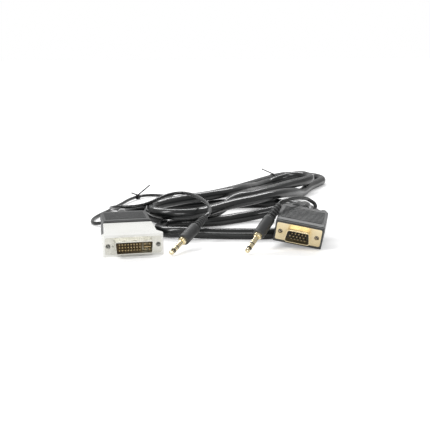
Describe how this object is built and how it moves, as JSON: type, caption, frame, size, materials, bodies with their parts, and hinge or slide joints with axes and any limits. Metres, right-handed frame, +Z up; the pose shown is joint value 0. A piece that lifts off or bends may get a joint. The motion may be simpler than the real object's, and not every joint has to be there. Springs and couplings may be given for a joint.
{
  "type": "dvi_to_vga_cable",
  "caption": "Coiled monitor cable with VGA plugs and audio jacks at both ends and a white DVI-I adapter pushed on one plug",
  "frame": {"origin": "centre of the adapter's underside, on the surface the cable lies on", "axes": "+Z up, -Y out of the adapter's DVI face, +X to the right seen from that face"},
  "size_m": [0.2335, 0.2694, 0.0303],
  "materials": {
    "adapter_white": "glossy warm white ABS",
    "nickel": "nickel-plated steel, lightly worn",
    "dvi_contact": "gold-flashed contacts in shadow",
    "dvi_insert": "dark glass-filled nylon",
    "board": "epoxy board, solder mask",
    "socket_insert": "blue nylon",
    "hood_black": "moulded PVC, satin",
    "gold_plate": "pale gold plating on the shell and plate",
    "plug_insert": "black nylon",
    "pin_gold": "gold-flashed pins",
    "mould_grey": "hot-melt inner mould",
    "screw_steel": "nickel-plated steel",
    "jack_gold": "polished gold plating",
    "jacket_black": "glossy black PVC jacket",
    "tie_black": "plastic-coated wire strip"
  },
  "bodies": {
    "cable_and_plugs": {"left_hood": "hood_black", "left_plug_shell": "gold_plate", "left_plug_insulator": "plug_insert", "left_plug_pins": "pin_gold", "left_inner_mould": "mould_grey", "left_cable_boot": "hood_black", "left_audio_gland": "hood_black", "left_jack_barrel": "hood_black", "left_jack_relief": "hood_black", "left_jack_collar": "jack_gold", "left_jack_sleeve": "jack_gold", "left_jack_ring": "jack_gold", "left_jack_tip": "jack_gold", "left_jack_bands": "plug_insert", "right_hood": "hood_black", "right_plug_shell": "gold_plate", "right_plug_insulator": "plug_insert", "right_plug_pins": "pin_gold", "right_inner_mould": "mould_grey", "right_cable_boot": "hood_black", "right_audio_gland": "hood_black", "right_jack_barrel": "hood_black", "right_jack_relief": "hood_black", "right_jack_collar": "jack_gold", "right_jack_sleeve": "jack_gold", "right_jack_ring": "jack_gold", "right_jack_tip": "jack_gold", "right_jack_bands": "plug_insert", "main_cable_right_run": "jacket_black", "main_cable_hank": "jacket_black", "main_cable_left_run": "jacket_black", "left_audio_lead": "jacket_black", "right_audio_lead": "jacket_black", "hank_tie": "tie_black", "lead_tie": "tie_black"},
    "adapter": {"adapter_housing": "adapter_white", "dvi_shell": "nickel", "dvi_insulator": "dvi_insert", "dvi_signal_contacts": "dvi_contact", "dvi_analog_contacts": "dvi_contact", "dvi_ground_blade": "dvi_contact", "adapter_board": "board", "adapter_socket_shell": "nickel", "adapter_socket_insulator": "socket_insert", "adapter_socket_contacts": "pin_gold", "adapter_hex_nuts": "screw_steel"},
    "left_screw_slide_a": {"left_clip_a": "screw_steel"},
    "left_thumbscrew_a": {"left_screw_a": "screw_steel", "left_knob_a": "hood_black"},
    "left_screw_slide_b": {"left_clip_b": "screw_steel"},
    "left_thumbscrew_b": {"left_screw_b": "screw_steel", "left_knob_b": "hood_black"},
    "right_screw_slide_a": {"right_clip_a": "screw_steel"},
    "right_thumbscrew_a": {"right_screw_a": "screw_steel", "right_knob_a": "hood_black"},
    "right_screw_slide_b": {"right_clip_b": "screw_steel"},
    "right_thumbscrew_b": {"right_screw_b": "screw_steel", "right_knob_b": "hood_black"}
  },
  "joints": [
    {"name": "adapter_pull_off", "type": "slide", "parent": "cable_and_plugs", "child": "adapter", "axis": [0, -1, 0], "range_m": [0, 0.012]},
    {"name": "left_screw_travel_a", "type": "slide", "parent": "cable_and_plugs", "child": "left_screw_slide_a", "axis": [0, -1, 0], "range_m": [0, 0.005]},
    {"name": "left_screw_turn_a", "type": "hinge", "parent": "left_screw_slide_a", "child": "left_thumbscrew_a", "pos_m": [-0.01249, 0.035, 0.0077], "axis": [0, 1, 0], "continuous": true},
    {"name": "left_screw_travel_b", "type": "slide", "parent": "cable_and_plugs", "child": "left_screw_slide_b", "axis": [0, -1, 0], "range_m": [0, 0.005]},
    {"name": "left_screw_turn_b", "type": "hinge", "parent": "left_screw_slide_b", "child": "left_thumbscrew_b", "pos_m": [0.01249, 0.035, 0.0077], "axis": [0, 1, 0], "continuous": true},
    {"name": "right_screw_travel_a", "type": "slide", "parent": "cable_and_plugs", "child": "right_screw_slide_a", "axis": [-0.4119, -0.8997, -0.1444], "range_m": [0, 0.005]},
    {"name": "right_screw_turn_a", "type": "hinge", "parent": "right_screw_slide_a", "child": "right_thumbscrew_a", "pos_m": [0.1066, -0.00337, 0.01439], "axis": [0.4119, 0.8997, 0.1444], "continuous": true},
    {"name": "right_screw_travel_b", "type": "slide", "parent": "cable_and_plugs", "child": "right_screw_slide_b", "axis": [-0.4119, -0.8997, -0.1444], "range_m": [0, 0.005]},
    {"name": "right_screw_turn_b", "type": "hinge", "parent": "right_screw_slide_b", "child": "right_thumbscrew_b", "pos_m": [0.12927, -0.01314, 0.01052], "axis": [0.4119, 0.8997, 0.1444], "continuous": true}
  ]
}
